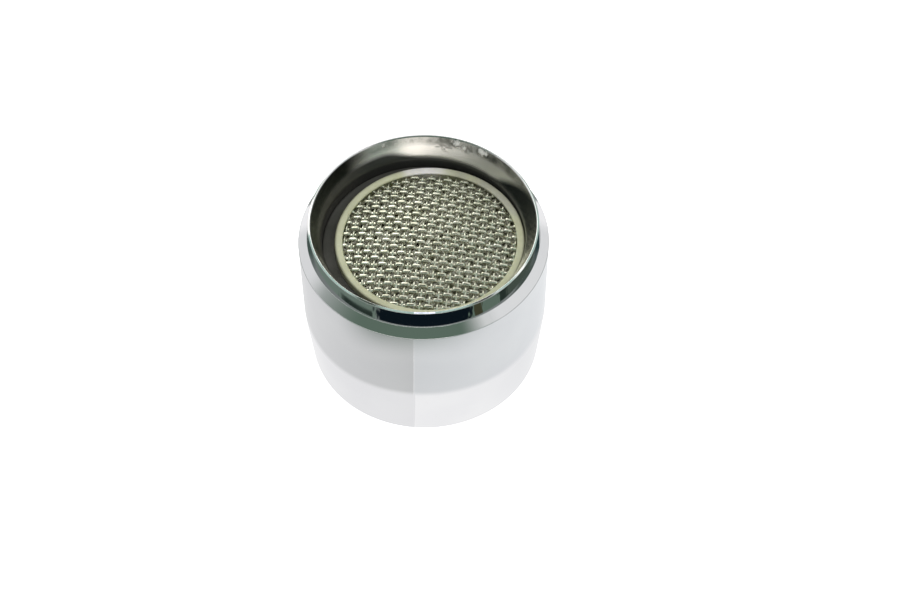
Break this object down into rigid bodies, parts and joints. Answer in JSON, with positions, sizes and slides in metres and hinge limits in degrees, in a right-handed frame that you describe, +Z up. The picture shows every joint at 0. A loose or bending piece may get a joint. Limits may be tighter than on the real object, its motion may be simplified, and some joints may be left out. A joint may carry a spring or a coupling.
{
  "type": "tap aerator",
  "caption": "Round chromed tap aerator with a collared, flared outlet over a woven wire screen in a cream plastic insert, and a female thread for the spout.",
  "frame": {"origin": "centre of the inlet edge, on the surface that the aerator stands on", "axes": "+Z up along the housing's axis, from the inlet to the outlet; +X towards the side that the insert lies against"},
  "size_m": [0.024, 0.024, 0.0182],
  "materials": {
    "chrome_plate": "bright chrome plate over turned brass, lightly worn",
    "cream_plastic": "moulded, faintly translucent and yellowed",
    "stainless_wire": "drawn wire, plain weave",
    "white_plastic": "moulded, matt",
    "black_rubber": "moulded, matt"
  },
  "bodies": {
    "root": {"housing": "chrome_plate", "insert_sleeve": "cream_plastic", "outlet_screen": "stainless_wire", "middle_screen": "stainless_wire", "inner_screen": "stainless_wire", "distance_ring": "cream_plastic", "jet_disc": "cream_plastic", "inlet_strainer": "white_plastic", "sealing_washer": "black_rubber"}
  },
  "joints": []
}
